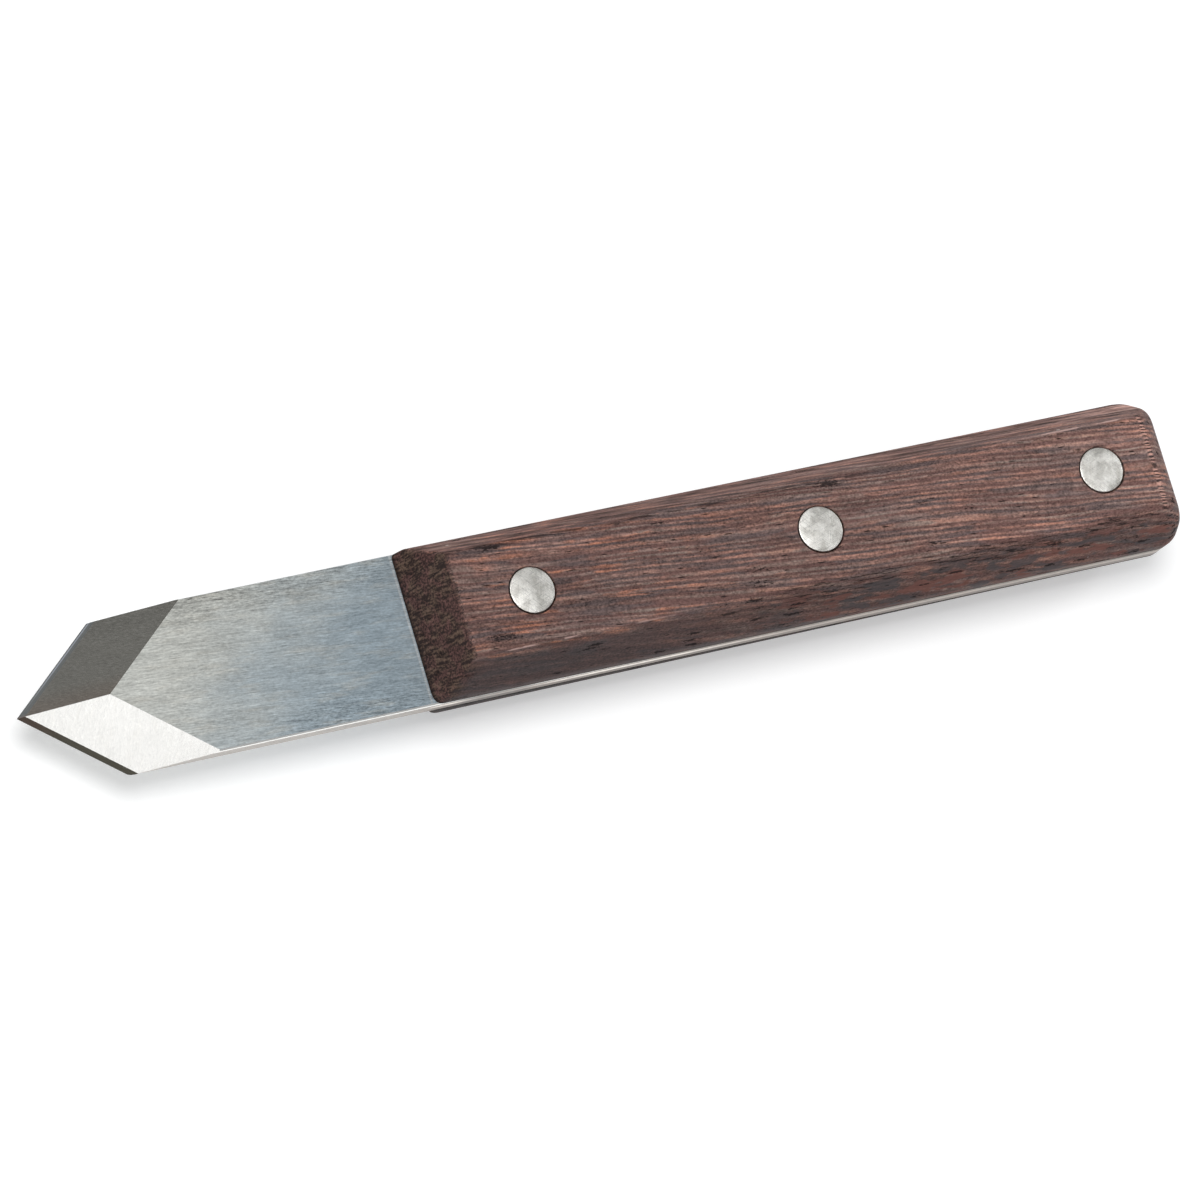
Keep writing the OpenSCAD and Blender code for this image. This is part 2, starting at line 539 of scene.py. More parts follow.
class Nodes:
    """The nodes of a material or of the world."""

    def __init__(self, owner):
        owner.use_nodes = True
        self.tree = owner.node_tree
        self.tree.nodes.clear()

    def node(self, kind, inputs=None, out=0, stops=(), **settings):
        """A node of this kind, its settings made first, then its sockets set or linked.

        stops are the (place, colour) of a colour ramp. The answer is the output out."""
        made = self.tree.nodes.new(kind)
        for key, value in settings.items():
            setattr(made, key, value)
        if stops:
            ramp = made.color_ramp.elements
            while len(ramp) < len(stops):
                ramp.new(0.5)
            for element, (place, colour) in zip(ramp, stops):
                element.position, element.color = place, (*colour, 1)
        for key, value in (inputs or {}).items():
            if isinstance(value, Strand):
                self.tree.links.new(value.socket, made.inputs[key])
            else:
                made.inputs[key].default_value = value
        return Strand(self, made.outputs[out]) if made.outputs else None

    def vector(self, x, y, z):
        return self.node("ShaderNodeCombineXYZ", {0: x, 1: y, 2: z})

    def part(self, vector, axis):
        """The X, Y or Z (axis 0, 1 or 2) of a vector."""
        return self.node("ShaderNodeSeparateXYZ", {0: vector}, out=axis)

    def noise(self, vector, detail=2.0, roughness=0.5):
        """Cloudy noise about 0.5, one cell to a unit of the vector."""
        return self.node("ShaderNodeTexNoise", {"Vector": vector, "Scale": 1.0, "Detail": detail,
                                                "Roughness": roughness})

    def cells(self, vector, out="Distance"):
        """Distance to the middle of the nearest cell, one cell to a unit of the vector."""
        return self.node("ShaderNodeTexVoronoi", {"Vector": vector, "Scale": 1.0}, out=out)

    def luck(self, vector, axis=0):
        """A chance number from 0 to 1, the same all over each of those cells."""
        return self.part(self.cells(vector, "Color"), axis)

    def blend(self, share, one, two):
        """Colour one where share is 0, colour two where it is 1."""
        one, two = (c if isinstance(c, Strand) else (*c, 1) for c in (one, two))
        return self.node("ShaderNodeMix", {0: share, 6: one, 7: two}, out=2, data_type="RGBA")

    def shade(self, colour, factor):
        """A colour made darker or lighter by a number."""
        return self.node("ShaderNodeVectorMath", {0: colour, "Scale": factor}, operation="SCALE")


class Finish(Nodes):
    """A material, with x, y and z as places on the knife in millimetres."""

    def __init__(self, name):
        self.material = bpy.data.materials.new(name)
        super().__init__(self.material)
        place = self.node("ShaderNodeTexCoord", out="Object")
        self.x, self.y, self.z = (self.part(place, axis) * (1 / MM) for axis in range(3))

    def spot(self, size):
        """A place for noise or cells of this size."""
        return self.vector(self.x / size, self.y / size, self.z / size)

    def turned(self, degrees):
        """Distances along and across a line at this angle from the length of the knife."""
        c, s = math.cos(math.radians(degrees)), math.sin(math.radians(degrees))
        return self.x * c + self.y * s, self.y * c - self.x * s

    def surface(self, colour, roughness, height, fixed):
        """Ends the finish in one Principled shader; height is in millimetres."""
        bump = self.node("ShaderNodeBump", {"Height": height, "Distance": MM, "Strength": 1.0})
        inputs = {"Base Color": colour, "Roughness": roughness, "Normal": bump, **fixed}
        shader = self.node("ShaderNodeBsdfPrincipled", inputs)
        self.node("ShaderNodeOutputMaterial", {"Surface": shader})
        return self.material


# Wood

# The grain: its turn from the length of the knife, and the width of one pale line and its gap
ASKEW = -5.3
RING = 0.76
LOWER_SHIFT = 31.0
# Painted shade along the joint with the steel, for the upper and the lower scale: its strength,
# and its reach off the steel
UPPER_SEAM_SHADE = (0.66, 0.75)
LOWER_SEAM_SHADE = (0.80, 2.8)

# Stretches of X or of Y over which a part of the wood or a mark on it comes in or fades
NEAR_FLANK_Y = (6.9, 8.0)
FAR_FLANK_Y = (6.4, 7.6)
FRONT_FADES_X = (-8.0, 24.0)
REAR_FLANK_X = (8.0, 30.0)
BUTT_LIGHT_X = (20.0, 74.0)
FAR_CORNER_X = (66.0, 73.0)
FAR_CORNER_Y = (6.2, 8.0)
CRACKS_X = (12.0, 26.0)
CRACKS_Y = -7.2
SPLIT_FADES_X = (24.0, 46.0)
NEAR_SCUFF_FADES_X = (-10.0, 14.0)
FAR_GLINT_X = (48.0, 60.0)
PALE_TICKS_Y = (-7.5, -5.5)

PALE_WOOD = (0.358, 0.182, 0.138)
WARM_WOOD = (0.420, 0.174, 0.108)
MILD_WOOD = (0.236, 0.162, 0.140)
OLIVE_WOOD = (0.216, 0.166, 0.143)
DARK_WOOD = (0.124, 0.066, 0.058)
MAUVE_WOOD = (0.100, 0.069, 0.067)
RED_WOOD = (0.190, 0.078, 0.062)
# Grey patches of the near flank, also its painted shade
GREY_PATCH_AND_SHADE_WOOD = (0.074, 0.063, 0.066)
# Painted sheen of the far flank
FAR_SHEEN_WOOD = (0.320, 0.186, 0.158)
END_WOOD = (0.030, 0.018, 0.016)
END_LINE = (0.180, 0.090, 0.080)
END_OLIVE = (0.152, 0.098, 0.072)
DUST = (0.62, 0.52, 0.48)
PORE_WOOD = (0.014, 0.010, 0.010)
# Rubbed near arris, and the painted glint of the far arris and far corner
RUBBED_AND_GLINT_WOOD = (0.54, 0.36, 0.32)
# Pale ticks of the butt's arris: wear, and a painted highlight
TICK_AND_GLINT_WOOD = (0.66, 0.37, 0.30)


class ScaleWood(Finish):
    """The finish of one scale, which knows the run of its grain: upright sheets, askew.

    rise is the height off the steel, and sheet counts across the sheets. near, far and
    front are 1 on the near flank, on the far flank and towards the front of the handle.
    far_line is the distance past the far arris, and band is 1 on the pale lines."""

    def __init__(self, name, up, shift):
        super().__init__(name)
        self.up = up
        self.rise = (self.z - height_at(0, up)) * up
        along, across = self.turned(ASKEW)
        self.along, self.across = along + 7 * shift, across + shift
        self.near = (-self.y).between(*NEAR_FLANK_Y)
        self.far = self.y.between(*FAR_FLANK_Y)
        self.front = 1 - self.x.between(*FRONT_FADES_X)
        self.far_line = self.y + (self.x - HANDLE_X) * FAR_CLOSING - FAR_ARRIS_Y

        self.slow = self.noise(self.place(34, 8, 9), 1) - 0.5
        quick = self.noise(self.place(9, 2.4, 3)) - 0.5
        self.sheet = self.across + self.rise * 0.10 + self.slow * 1.7 + quick * 0.42
        wander = self.noise(self.vector(self.sheet / 1.9, self.along / 60, 0.0), 1) - 0.5
        self.ring = (self.sheet + wander * 1.6) / RING
        wave = (self.ring * math.tau).sin() * 0.5 + 0.5
        self.line = self.streaks(9.0, 0.42, 0.9, 3, 0.6)
        self.fibre = self.streaks(1.3, 0.17, 0.17, 2, 0.6)
        self.fleck = self.streaks(0.30, 0.24, 0.24, 1)
        self.broad = self.streaks(22.0, 1.7, 3.0)
        self.speckle = self.noise(self.spot(0.30), 3, 0.65)
        self.pore_place = self.place(2.4, 0.40, 0.40)
        self.pore_luck = self.luck(self.pore_place)
        band = wave * 0.68 + (self.line - 0.5) * 1.7 + (self.fibre - 0.5) * 0.9
        self.band = band.between(0.0, 0.95)

    def place(self, length, width, depth):
        """A place for cells of this size that lie straight along the grain."""
        return self.vector(self.along / length, self.across / width, self.rise / depth)

    def streaks(self, length, width, depth, detail=2, roughness=0.5):
        """Noise in streaks of this size that follow the sheets."""
        vector = self.vector(self.along / length, self.sheet / width, self.rise / depth)
        return self.noise(vector, detail, roughness)


def grain_colour(f):
    """Pale lines in darker wood, calmer on the flanks and livelier towards the front."""
    ring_cell = f.vector(f.along / 5.0, f.ring.floor() * 3.7, f.rise / 5)
    strength = f.noise(ring_cell, 3).between(0.34, 0.64)
    hue = f.noise(f.vector(f.along / 9, f.sheet / 1.1 + 7, f.rise / 3))
    calm = f.streaks(15.0, 2.6, 4.0).between(0.54, 0.66) * (0.35 + 0.65 * f.front)
    calm = calm.at_least(f.near * (0.30 + 0.60 * f.front)).at_least(f.far * 0.20)
    warm = f.streaks(6.0, 1.1, 2.0, 3, 0.6).between(0.50, 0.64) * (0.35 + 0.65 * f.front)
    pale = f.blend(f.streaks(13.0, 2.6, 3.0).between(0.38, 0.62), MILD_WOOD, PALE_WOOD)
    pale = f.blend((1 - hue).between(0.50, 0.62) * 0.8, pale, OLIVE_WOOD)
    pale = f.blend(warm * (1 - 0.7 * calm), pale, WARM_WOOD)
    dark = f.blend(hue.between(0.46, 0.60), DARK_WOOD, MAUVE_WOOD)
    wood = f.blend(f.band * (0.56 + 0.54 * strength) * (1 - 0.70 * calm), dark, pale)
    return f.shade(wood, 1.03 + (f.broad - 0.5) * 0.9 + (f.fleck - 0.5) * 1.8
                   + (f.fibre - 0.5) * 0.6 - 0.14 * calm)


def tint_flanks(f, wood):
    """The near flank patched red and grey and painted with shade in front, the far one painted
    with a pale sheen, both a touch streaky; all painted lighter towards the butt as light, the
    near flank darker as shade.
    """
    patch = f.noise(f.vector(f.x / 6, f.sheet / 1.7, f.rise / 2.4), 3, 0.6)
    rear_flank = f.near * f.x.between(*REAR_FLANK_X)
    wood = f.blend(rear_flank * patch.between(0.53, 0.59) * 0.85, wood, RED_WOOD)
    wood = f.blend(rear_flank * (1 - patch).between(0.53, 0.59) * 0.80, wood, GREY_PATCH_AND_SHADE_WOOD)
    # Painted shade: the near flank darker towards the front
    wood = f.blend(f.near * f.front * 0.45, wood, GREY_PATCH_AND_SHADE_WOOD)
    # Painted sheen: the far flank paler, most along its outer edge
    wood = f.blend(f.far * 0.16 + f.y.between(7.2, 9.0) * 0.26, wood, FAR_SHEEN_WOOD)
    # Painted sheen on the far corner by the butt
    far_corner_sheen = f.y.between(*FAR_CORNER_Y) * f.x.between(*FAR_CORNER_X)
    wood = f.blend(far_corner_sheen * (0.16 + (f.line - 0.5) * 1.6), wood, RUBBED_AND_GLINT_WOOD)
    wood = f.shade(wood, 1 + ((f.line - 0.5) * 3.4 + (f.broad - 0.5) * 1.6) * f.far)
    wood = f.shade(wood, 1 + (f.fibre - 0.5) * 1.1 * f.near)
    # Painted light: the wood lighter towards the butt; painted shade: the near flank darker
    return f.shade(wood, (1.0 + 0.22 * f.x.between(*BUTT_LIGHT_X)) * (1 - 0.13 * f.near))


def open_grain(f):
    """1 in the pores, chips, slits and cracks of the wood, 0 between them."""
    pore = f.cells(f.pore_place) + (f.fibre - 0.5) * 0.5
    pore = (1 - pore.between(0.08, 0.24)) * f.pore_luck.between(0.77, 0.79)
    chip_place = f.place(6.0, 1.7, 1.7)
    ragged = f.noise(f.place(0.5, 0.16, 0.2), 3) - 0.5
    chip = f.cells(chip_place) * (1.7 - 1.1 * f.luck(chip_place, 1)) + ragged * 0.9
    chip = (1 - chip.between(0.08, 0.20)) * f.luck(chip_place).between(0.62, 0.64)
    slit_place = f.place(4.6, 0.8, 0.8)
    slit = (1 - (f.cells(slit_place) + ragged * 0.8).between(0.18, 0.34)) * f.near
    slit = slit * f.luck(slit_place).between(0.76, 0.78)
    crack = f.streaks(4.0, 0.30, 0.30, 3, 0.65).between(0.54, 0.62) * f.x.between(*CRACKS_X)
    crack = crack * (1 - abs(f.y - CRACKS_Y + f.slow * 2.0).between(0.3, 1.2))
    split = f.streaks(5.0, 0.34, 0.34, 3, 0.6).between(0.46, 0.56)
    split = split * (1 - f.x.between(*SPLIT_FADES_X) * 0.8)
    split = split * (1 - abs(f.far_line + 0.22 + f.slow).between(0.12, 0.50))
    return pore.at_least(chip).at_least(crack).at_least(slit).at_least(split * 0.85)


def add_end_grain(f, wood):
    """Dark end grain on the sloping front, with a ragged edge and a worn near corner."""
    facing = f.part(f.node("ShaderNodeNewGeometry", out="Normal"), 0)
    from_front = f.x - HANDLE_X - f.rise * (FRONT_RUN / SCALE_T)
    ragged_edge = 1 - (from_front + (f.speckle - 0.5) * 1.8).between(0.15, 0.45)
    corner = (1 - (from_front + (f.speckle - 0.5) * 3.0).between(0.8, 2.4)) * f.near
    share = (-facing).between(0.45, 0.80).at_least(ragged_edge * 0.8).at_least(corner * 0.8)
    arc_y = f.y + f.rise * 0.08 + f.slow * 2.0
    arcs = f.noise(f.vector(f.rise / 2.2, arc_y / 0.40, 0.0), 2, 0.6)
    drift = f.noise(f.spot(2.2))
    line = f.blend(drift.between(0.40, 0.60), END_LINE, END_OLIVE)
    lines = 0.34 + (f.speckle - 0.5) * 3.2 + (arcs - 0.5) * 4.4 * drift.between(0.36, 0.58)
    end_wood = f.shade(f.blend(lines, END_WOOD, line), 0.60 + f.speckle * 0.8)
    return f.blend(share, wood, end_wood)


def wear_arrises(f, wood):
    """Scuffs along the near arris of the top, a painted glint along the far one, and ticks across
    the arris of the butt, the pale ones partly wear and partly a painted highlight.
    """
    on_top = (f.z * f.up).between(TOP_Z - 0.5, TOP_Z - 0.2)
    scuff = f.noise(f.vector(f.x / 4.5, f.y / 0.5, 0.0), 4, 0.65).between(0.50, 0.57)
    near_scuff = (1 - abs(-f.y - NEAR_ARRIS_Y).between(0.03, 0.14)) * scuff
    near_scuff = near_scuff * (1 - f.x.between(*NEAR_SCUFF_FADES_X))
    # Painted glint along the far arris behind
    far_arris_glint = (1 - abs(f.far_line).between(0.03, 0.22)) * f.x.between(*FAR_GLINT_X)
    far_arris_glint = far_arris_glint * (0.3 + 0.7 * scuff)
    butt_arris = 1 - abs(f.x - BUTT_ARRIS_X + (f.speckle - 0.5) * 1.1).between(0.12, 0.62)
    butt_arris = butt_arris * f.rise.between(SCALE_T - 1.2, SCALE_T - 0.7)
    tick = (f.ring * math.tau * 1.6 + (f.fibre - 0.5) * 4).sin() * 0.5 + 0.5
    dark_tick = butt_arris * (1 - tick).between(0.55, 0.85)
    # Pale ticks across the butt's arris: partly wear, partly a painted highlight
    pale_tick_and_glint = butt_arris * tick.between(0.45, 0.80) * f.y.between(*PALE_TICKS_Y)
    wood = f.blend(dark_tick * 0.8, wood, PORE_WOOD)
    wood = f.blend(near_scuff.at_least(far_arris_glint) * on_top, wood, RUBBED_AND_GLINT_WOOD)
    return f.blend(pale_tick_and_glint * (0.62 + 0.38 * f.pore_luck.between(0.3, 0.7)), wood, TICK_AND_GLINT_WOOD)


def dark_hardwood(name, up, shift):
    """Dark open-grained wood; shift moves its grain, so that the two scales differ."""
    f = ScaleWood(name, up, shift)
    hollow = open_grain(f)
    wood = tint_flanks(f, grain_colour(f))
    wood = f.blend(hollow * 0.88, wood, PORE_WOOD)
    dust = 1 - f.cells(f.spot(11)).between(0.018, 0.030)
    wood = f.blend(dust * 0.8, wood, DUST)
    wood = add_end_grain(f, wood)
    # Painted shade along the steel, reaching far up the side of the lower scale
    seam_shade, reach = UPPER_SEAM_SHADE if up > 0 else LOWER_SEAM_SHADE
    wood = f.shade(wood, 1 - seam_shade * (1 - f.rise.between(0.15, reach)))
    wood = wear_arrises(f, wood)
    roughness = 0.60 + (f.fibre - 0.5) * 0.25 + hollow * 0.3 + f.far * 0.22
    height = f.band * -0.012 + f.fibre * 0.016 + f.fleck * 0.010 - hollow * 0.08
    return f.surface(wood, roughness, height, {"Specular IOR Level": 0.15})


# Steel and rivet metal

# Width of one scratch of the brushing
SCRATCH_W = 0.16

# Stretches of X over which a part of the steel or a mark on it comes in or fades
RIM_SHADE_X = (-30.0, -24.0)
WORN_HIGHLIGHT_FADES_X = (-18.0, 14.0)
UNDER_HANDLE_X = (-28.0, -26.0)
GLINT_BREAKS_X = (-24.0, -20.0)
GLINT_RETURNS_X = (-15.0, -8.0)
GLINT_FADES_X = (4.0, 24.0)
DULL_X = (-24.0, -22.0)
DULL_FADES_X = (-14.5, -12.0)
BUTT_DARKENS_X = (44.0, 70.0)
# How deep under the face of the bar the painted glint and the painted shade line of its side lie
GLINT_DEPTH = 1.1
SHADE_LINE_DEPTH = 2.1
# How far in from the cutting edge the painted highlight line of the far honed band lies
EDGE_HIGHLIGHT_IN = 0.20

# The two colours of each face, towards the point then towards the handle or the butt: painted
# reflections on the flat, painted shade under the handle on the rim, a painted highlight in front
# on the worn edge
FLAT_REFLECTIONS = ((0.60, 0.605, 0.565), (0.37, 0.44, 0.485))
GROUND_NEAR_STEEL = ((0.745, 0.735, 0.71), (0.735, 0.725, 0.70))
GROUND_FAR_STEEL = ((0.80, 0.77, 0.71), (0.78, 0.75, 0.69))
RIM_STEEL_AND_SHADE = ((0.42, 0.385, 0.35), (0.286, 0.226, 0.187))
WORN_EDGE_HIGHLIGHT = ((0.99, 0.98, 0.95), (0.44, 0.395, 0.352))
# The near and the far honed band, as painted reflections
HONED_REFLECTIONS = ((0.47, 0.44, 0.36), (0.31, 0.30, 0.28))

BEIGE_STREAK = (0.62, 0.58, 0.50)
HANDLE_LINE = (0.78, 0.78, 0.76)
# Painted warm reflection by the ridge of the far ground face
RIDGE_REFLECTION = (0.78, 0.60, 0.50)
TIP_GLOW = (0.50, 0.34, 0.30)
# Painted highlight line along the far honed edge
EDGE_HIGHLIGHT = (0.72, 0.71, 0.74)
RIM_GLINT = (0.97, 0.90, 0.82)
RIVET_METAL = ((0.60, 0.58, 0.535), (0.93, 0.91, 0.86))


class BrushedSteel(Finish):
    """Steel with fine straight scratches, angle degrees from the length of the knife.

    streaky is the strength of their light and dark lines."""

    def __init__(self, name, angle, streaky=1.0):
        super().__init__(name)
        self.along, self.across = self.turned(angle)
        self.streaky = streaky

    def drifting_reflections(self, by_point, by_handle):
        """Painted reflection: one colour by the point and one by the handle, in wandering clouds
        and streaks.
        """
        cloud = self.noise(self.vector(self.x / 9, self.y / 6, self.z / 9), 3) - 0.5
        share = (self.x - TIP_X - 16) / 32 - self.y / 40 + cloud * 0.65
        steel = self.blend(share.between(0.0, 1.0), by_point, by_handle)
        beige = self.noise(self.vector(self.along / 5, self.across / 0.9, self.z), 3, 0.6)
        beige = beige.between(0.48, 0.72) + self.y.between(5.0, 10.0) * 0.35
        return self.blend(beige * 0.28 * self.streaky, steel, BEIGE_STREAK)

    def dulled(self, steel, share):
        """Darkens the bar's side just behind the front of the handle, and by the butt."""
        stretch = self.x.between(*DULL_X) * (1 - self.x.between(*DULL_FADES_X))
        return self.shade(steel, 1 - share * stretch - 0.10 * self.x.between(*BUTT_DARKENS_X))

    def scratched(self, steel, long=6.0, rough=0.32, deep=0.0022):
        """Ends the finish with scratches of this length and depth, livelier by the rims."""
        coarse = self.noise(self.scratches(long, SCRATCH_W, SCRATCH_W), 3, 0.6)
        fine = self.noise(self.scratches(0.3 * long, 0.45 * SCRATCH_W, SCRATCH_W), 3, 0.65)
        broad = self.noise(self.scratches(1.4 * long, 3.5 * SCRATCH_W, 1.0))
        grit = self.noise(self.scratches(0.55, 0.24, 0.24), 3, 0.7)
        mottle = self.noise(self.scratches(5.0, 2.0, 2.0), 2, 0.6)
        near_rim = (-self.y).between(5.0, 9.0) * self.x.between(-52.0, -38.0)
        rims = self.y.between(5.5, 9.5).at_least(near_rim)
        lines = ((coarse - 0.5) * 0.6 + (fine - 0.5) * 1.3 + (broad - 0.5) * 0.4
                 + (grit - 0.5) * 0.95 + (mottle - 0.5) * 0.34)
        lines = lines * (self.streaky * (1 + 0.9 * rims))
        steel = self.shade(steel, (1 + lines) * (1 - 0.13 * self.streaky * rims))
        roughness = rough + (fine - 0.5) * 0.18
        return self.surface(steel, roughness, (coarse + fine) * deep, {"Metallic": 1.0})

    def scratches(self, length, width, depth):
        """A place for cells of this size that lie along the scratches."""
        return self.vector(self.along / length, self.across / width, self.z / depth)


def flat_steel():
    """The broad faces in painted reflection colours, with a pale line against the front of the
    handle.
    """
    f = BrushedSteel("steel_flat", -4.5)
    by_handle = 1 - abs(f.x - HANDLE_X + 0.24).between(0.05, 0.22)
    return f.scratched(f.blend(by_handle * 0.42, f.drifting_reflections(*FLAT_REFLECTIONS), HANDLE_LINE))


def near_ground_steel():
    """The ground face on the near side, scratched across."""
    f = BrushedSteel("steel_ground_near", 71, streaky=0.28)
    return f.scratched(f.drifting_reflections(*GROUND_NEAR_STEEL), long=14, rough=0.22, deep=0.0012)


def far_ground_steel():
    """The ground face on the far side, with a painted warm reflection by the middle ridge."""
    f = BrushedSteel("steel_ground_far", -17, streaky=0.32)
    by_ridge = 1 - abs(f.y).between(0.3, 3.0)
    steel = f.blend(0.4 * by_ridge, f.drifting_reflections(*GROUND_FAR_STEEL), RIDGE_REFLECTION)
    return f.scratched(steel, long=14, rough=0.18, deep=0.0012)


def honed_steel():
    """The honed bands in painted reflection colours: warm by the tip, with a painted highlight
    line along the far edge.
    """
    f = BrushedSteel("steel_honed", -40, streaky=0.2)
    steel = f.blend(f.y.between(-0.2, 0.2), *HONED_REFLECTIONS)
    by_tip = (1 - (-f.y).between(0.5, 4.5)) * (-f.y).between(-0.4, 0.2)
    steel = f.blend(by_tip * 0.6, steel, TIP_GLOW)
    from_edge = (f.x - TIP_X) * math.sin(POINT_ANGLE) - abs(f.y) * math.cos(POINT_ANGLE)
    # Painted highlight line along the far honed edge
    bright = (1 - abs(from_edge - EDGE_HIGHLIGHT_IN).between(0.02, 0.11)) * f.y.between(0.2, 5.0)
    steel = f.blend(bright * 0.9, steel, EDGE_HIGHLIGHT)
    return f.scratched(steel, rough=0.14, deep=0.0006)


def rim_steel():
    """The bar's side, painted darker under the handle as shade, with a painted glint near its top
    there and painted shade lines.
    """
    f = BrushedSteel("steel_rim", 0, streaky=0.5)
    depth = FACE_Z - f.z
    under_handle = f.x.between(*UNDER_HANDLE_X)
    glint = 1 - abs(depth - GLINT_DEPTH).between(0.25, 0.60)
    glint = glint * (1 - f.x.between(*GLINT_FADES_X) * 0.75)
    unbroken = 1 - f.x.between(*GLINT_BREAKS_X) * 0.55
    glint = glint * f.x.between(*GLINT_RETURNS_X).at_least(unbroken)
    shade_line = 1 - abs(depth - SHADE_LINE_DEPTH).between(0.3, 0.8)
    shade_under_face = 1 - depth.between(0.30, 0.62)
    # Painted shade under the handle, a painted glint near the top there, and painted shade lines
    steel = f.blend(f.x.between(*RIM_SHADE_X), *RIM_STEEL_AND_SHADE)
    steel = f.blend(glint * under_handle, steel, RIM_GLINT)
    steel = f.shade(steel, 1 - 0.34 * shade_line * under_handle)
    steel = f.shade(steel, 1 - 0.60 * shade_under_face * under_handle)
    return f.scratched(f.dulled(steel, 0.34), rough=0.36)


def worn_edge_highlight_steel():
    """The worn edges of the bar, with a painted highlight bright in front and darker along the
    handle.
    """
    f = BrushedSteel("steel_worn_edge_highlight", 0, streaky=0.2)
    # Painted highlight, bright in front and fading along the handle
    return f.scratched(f.dulled(f.blend(f.x.between(*WORN_HIGHLIGHT_FADES_X), *WORN_EDGE_HIGHLIGHT), 0.44))


def satin_rivet_metal():
    """Bright satin metal, rubbed in many directions."""
    f = Finish("rivet_metal_satin")
    rubbed = None
    for angle in (18, 74, -41, 128):
        along, across = f.turned(angle)
        lines = f.noise(f.vector(along / 2.6, across / 0.08, f.z + angle)).between(0.57, 0.68)
        rubbed = lines if rubbed is None else rubbed.at_least(lines)
    cloud = f.noise(f.vector(f.x / 1.9, f.y / 1.9, f.z), 4, 0.65).between(0.32, 0.66)
    grit = f.noise(f.spot(0.14), 2, 0.6) - 0.5
    metal = f.blend(cloud, *RIVET_METAL)
    # Painted shade: the metal darker towards the front rivet, standing in for its dimmer
    # reflection
    reflection_towards_butt = 0.84 + 0.16 * f.x.between(-20.0, 55.0)
    metal = f.shade(metal, (1.02 - rubbed * 0.38 + grit * 0.7) * reflection_towards_butt)
    roughness = 0.34 + rubbed * 0.12 + cloud * 0.06
    return f.surface(metal, roughness, rubbed * -0.004 + cloud * 0.004, {"Metallic": 1.0})


# Studio, in metres

KEY_PLACE = Vector((-0.36, 0.14, 1.55))
KEY_SIZE = 0.66
KEY_POWER = 14.5
FRONT_PLACE = Vector((-0.03, -0.32, 1.57))
FRONT_SIZE = 0.96
FRONT_POWER = 2.05
BUTT_PLACE = Vector((1.15, 0.28, 0.85))
BUTT_SIZE = 0.40
BUTT_POWER = 2.0
CAMERA_PLACE = Vector((-0.447476, -0.218955, 1.046795))
CAMERA_AIM = Vector((-0.000600, -0.000910, 0.010000))
CAMERA_ROLL = math.radians(49.588)
CAMERA_LENS = 272.916
CAMERA_SENSOR = 36.0

# The cove around the knife, as (height of the look from level 0 to overhead 1, colour)
COVE = ((0.0, (0.86, 0.86, 0.86)), (0.22, (0.84, 0.85, 0.86)), (0.52, (0.42, 0.46, 0.50)),
        (0.70, (0.12, 0.12, 0.115)), (0.80, (0.14, 0.14, 0.135)), (0.86, (0.50, 0.51, 0.52)))
# What the cove loses where it lights matt surfaces
COVE_LOSS = 0.28

# The floor: half its width, its grey as it lights the knife and as it is seen, and its glow
FLOOR_HALF = 3.0
FLOOR_GREY = (0.42, 0.42, 0.42)
FLOOR_SEEN = (0.76, 0.76, 0.76)
FLOOR_GLOW = 0.37


def stand(name, data, place, aim, roll=0.0):
    """Puts a lamp or a camera at a place, turned towards aim."""
    holder = bpy.data.objects.new(name, data)
    holder.location = place
    holder.rotation_mode = "QUATERNION"
    look = (aim - place).to_track_quat("-Z", "Y")
    holder.rotation_quaternion = look @ Quaternion((0, 0, 1), roll)
    bpy.context.scene.collection.objects.link(holder)
    return holder


def soft_lamp(name, place, size, power):
    """A round soft lamp that lights the knife."""
    lamp = bpy.data.lights.new(name, "AREA")
    lamp.shape, lamp.size, lamp.energy = "DISK", size, power
    stand(name, lamp, place, Vector((0, 0, 0)))


def studio_world():
    """A pale cove: light near the horizon, darker above."""
    world = bpy.data.worlds.new("studio")
    bpy.context.scene.world = world
    sky = Nodes(world)
    height = sky.part(sky.node("ShaderNodeTexCoord", out="Generated"), 2)
    colour = sky.node("ShaderNodeValToRGB", {"Fac": height}, stops=COVE)
    strength = 1 - COVE_LOSS * sky.node("ShaderNodeLightPath", out="Is Diffuse Ray")
    back = sky.node("ShaderNodeBackground", {"Color": colour, "Strength": strength})
    sky.node("ShaderNodeOutputWorld", {"Surface": back})


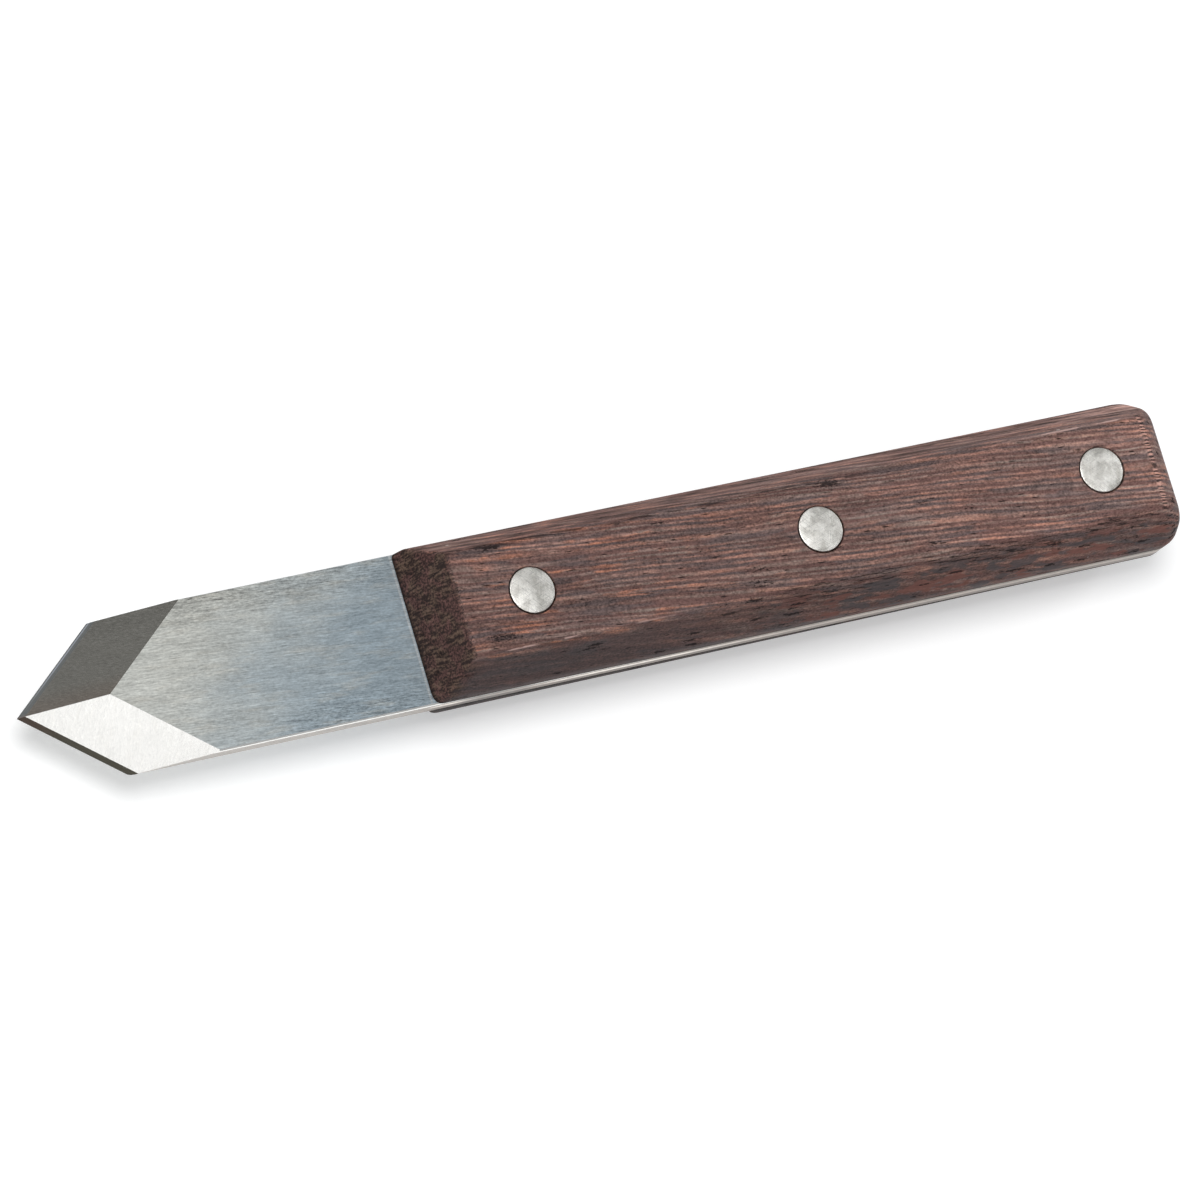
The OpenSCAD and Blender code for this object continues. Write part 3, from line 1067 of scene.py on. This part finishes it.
def pale_floor():
    """A wide white sheet under the knife; it keeps the knife's shadow."""
    shape = bmesh.new()
    shape.faces.new([shape.verts.new((x * FLOOR_HALF, y * FLOOR_HALF, 0))
                     for x, y in ((-1, -1), (1, -1), (1, 1), (-1, 1))])
    floor = add_object("floor", shape)
    f = Finish("floor_white")
    seen = f.node("ShaderNodeLightPath", out="Is Camera Ray")
    seen = seen.at_least(f.node("ShaderNodeLightPath", out="Is Glossy Ray"))
    matt = f.node("ShaderNodeBsdfDiffuse", {"Color": f.blend(seen, FLOOR_GREY, FLOOR_SEEN)})
    glow = f.node("ShaderNodeEmission", {"Color": (1, 1, 1, 1), "Strength": FLOOR_GLOW * seen})
    both = f.node("ShaderNodeAddShader", {0: matt, 1: glow})
    f.node("ShaderNodeOutputMaterial", {"Surface": both})
    floor.data.materials.append(f.material)


def camera():
    """The camera, where the photograph was taken from."""
    data = bpy.data.cameras.new("camera")
    data.lens, data.sensor_width, data.sensor_fit = CAMERA_LENS, CAMERA_SENSOR, "HORIZONTAL"
    data.clip_start, data.clip_end = 0.05, 20
    holder = stand("camera", data, CAMERA_PLACE, CAMERA_AIM, CAMERA_ROLL)
    bpy.context.scene.camera = holder


# The knife in its studio

camera()
studio_world()
pale_floor()
soft_lamp("key_lamp", KEY_PLACE, KEY_SIZE, KEY_POWER)
soft_lamp("front_lamp", FRONT_PLACE, FRONT_SIZE, FRONT_POWER)
soft_lamp("butt_lamp", BUTT_PLACE, BUTT_SIZE, BUTT_POWER)

upper_wood = dark_hardwood("upper_scale_wood", 1, 0.0)
lower_wood = dark_hardwood("lower_scale_wood", -1, LOWER_SHIFT)
make_scale("upper_scale", ScaleSide(NEAR_SLANT, 0.0, NEAR_CORNERS, near_arris),
           ScaleSide(FLANK_SLANT, FLANK_CLOSE, FAR_CORNERS, far_arris), 1, upper_wood)
make_scale("lower_scale", ScaleSide(FLANK_SLANT, FLANK_CLOSE, NEAR_CORNERS, far_arris),
           ScaleSide(FLANK_SLANT, FLANK_CLOSE, FAR_CORNERS, near_arris), -1, lower_wood)
make_blade([flat_steel(), near_ground_steel(), far_ground_steel(),
            honed_steel(), rim_steel(), worn_edge_highlight_steel()])
make_rivets(satin_rivet_metal())

bpy.context.scene.view_settings.view_transform = "Standard"
